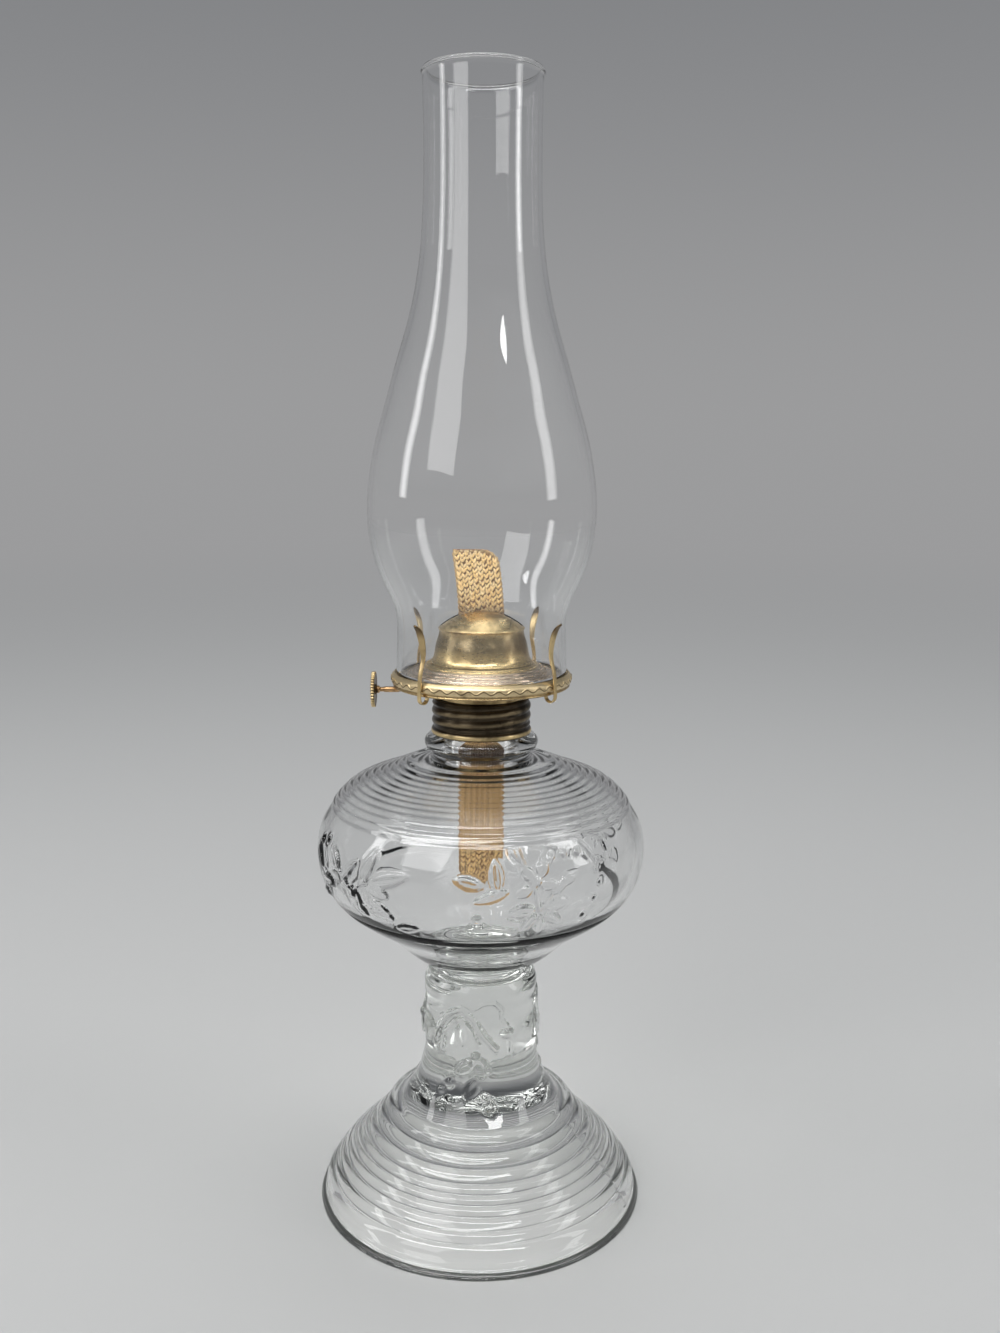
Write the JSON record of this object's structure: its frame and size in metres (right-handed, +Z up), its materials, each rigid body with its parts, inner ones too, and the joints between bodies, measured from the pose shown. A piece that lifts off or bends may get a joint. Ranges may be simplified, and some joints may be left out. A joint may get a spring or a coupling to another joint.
{
  "type": "glass oil lamp",
  "caption": "Tall pressed-glass table lamp for oil, with a footed font, brass flat-wick burner with side winder wheel, and bulged clear chimney.",
  "frame": {"origin": "centre of the underside of the foot", "axes": "+Z up along the lamp; the winder shaft runs along X with its thumb wheel towards -X; the wick's broad side faces -Y, the front"},
  "size_m": [0.151, 0.151, 0.5042],
  "materials": {
    "pressed_glass": "clear, thick, moulded relief",
    "blown_glass": "clear, thin, polished",
    "aged_brass": "aged, tarnished in the hollows",
    "dark_brass": "dark, antiqued, rubbed on the ridges",
    "coppery_brass": "reddish, worn",
    "wick_cotton": "coarse woven cotton, stained by oil"
  },
  "bodies": {
    "lamp_base": {"pedestal": "pressed_glass", "font": "pressed_glass"},
    "burner": {"burner_base": "aged_brass", "air_basket": "aged_brass", "gallery": "aged_brass", "air_diffuser": "aged_brass", "wick_tube": "aged_brass", "winder_housing": "aged_brass"},
    "screw_ring": {"screw_ring": "dark_brass"},
    "chimney": {"chimney": "blown_glass"},
    "deflector": {"flame_deflector": "aged_brass"},
    "winder": {"winder_shaft": "coppery_brass", "spur_wheel_1": "aged_brass", "spur_wheel_2": "aged_brass", "spur_wheel_3": "aged_brass", "spur_wheel_4": "aged_brass", "thumb_wheel": "aged_brass"},
    "wick": {"wick": "wick_cotton"},
    "prong_front_left": {"prong_front_left": "aged_brass"},
    "prong_front_right": {"prong_front_right": "aged_brass"},
    "prong_back_right": {"prong_back_right": "aged_brass"},
    "prong_back_left": {"prong_back_left": "aged_brass"}
  },
  "joints": [
    {"name": "burner_rise", "type": "slide", "parent": "lamp_base", "child": "burner", "axis": [0, 0, 1], "range_m": [0, 0.011]},
    {"name": "ring_turn", "type": "hinge", "parent": "burner", "child": "screw_ring", "pos_m": [0, 0, 0.23], "axis": [0, 0, 1], "range_deg": [0, 900.5]},
    {"name": "chimney_lift", "type": "slide", "parent": "burner", "child": "chimney", "axis": [0, 0, 1], "range_m": [0, 0.08]},
    {"name": "deflector_lift", "type": "slide", "parent": "burner", "child": "deflector", "axis": [0, 0, 1], "range_m": [0, 0.018]},
    {"name": "winder_turn", "type": "hinge", "parent": "burner", "child": "winder", "pos_m": [0, 0.0055, 0.2409], "axis": [-1, 0, 0], "range_deg": [-412, 177]},
    {"name": "wick_feed", "type": "slide", "parent": "burner", "child": "wick", "axis": [0, 0, 1], "range_m": [-0.028, 0.012]},
    {"name": "prong_front_left_flex", "type": "hinge", "parent": "burner", "child": "prong_front_left", "pos_m": [-0.02426, -0.02996, 0.2439], "axis": [0.7771, -0.6293, 0], "range_deg": [0, 8], "stiffness_Nm_per_rad": 0.6},
    {"name": "prong_front_right_flex", "type": "hinge", "parent": "burner", "child": "prong_front_right", "pos_m": [0.02996, -0.02426, 0.2439], "axis": [0.6293, 0.7771, 0], "range_deg": [0, 8], "stiffness_Nm_per_rad": 0.6},
    {"name": "prong_back_right_flex", "type": "hinge", "parent": "burner", "child": "prong_back_right", "pos_m": [0.02426, 0.02996, 0.2439], "axis": [-0.7771, 0.6293, 0], "range_deg": [0, 8], "stiffness_Nm_per_rad": 0.6},
    {"name": "prong_back_left_flex", "type": "hinge", "parent": "burner", "child": "prong_back_left", "pos_m": [-0.02996, 0.02426, 0.2439], "axis": [-0.6293, -0.7771, 0], "range_deg": [0, 8], "stiffness_Nm_per_rad": 0.6}
  ],
  "couplings": [
    {"joint": "ring_turn", "follows": "burner_rise", "rad_per_m": 1428},
    {"joint": "winder_turn", "follows": "wick_feed", "rad_per_m": 256.41}
  ]
}
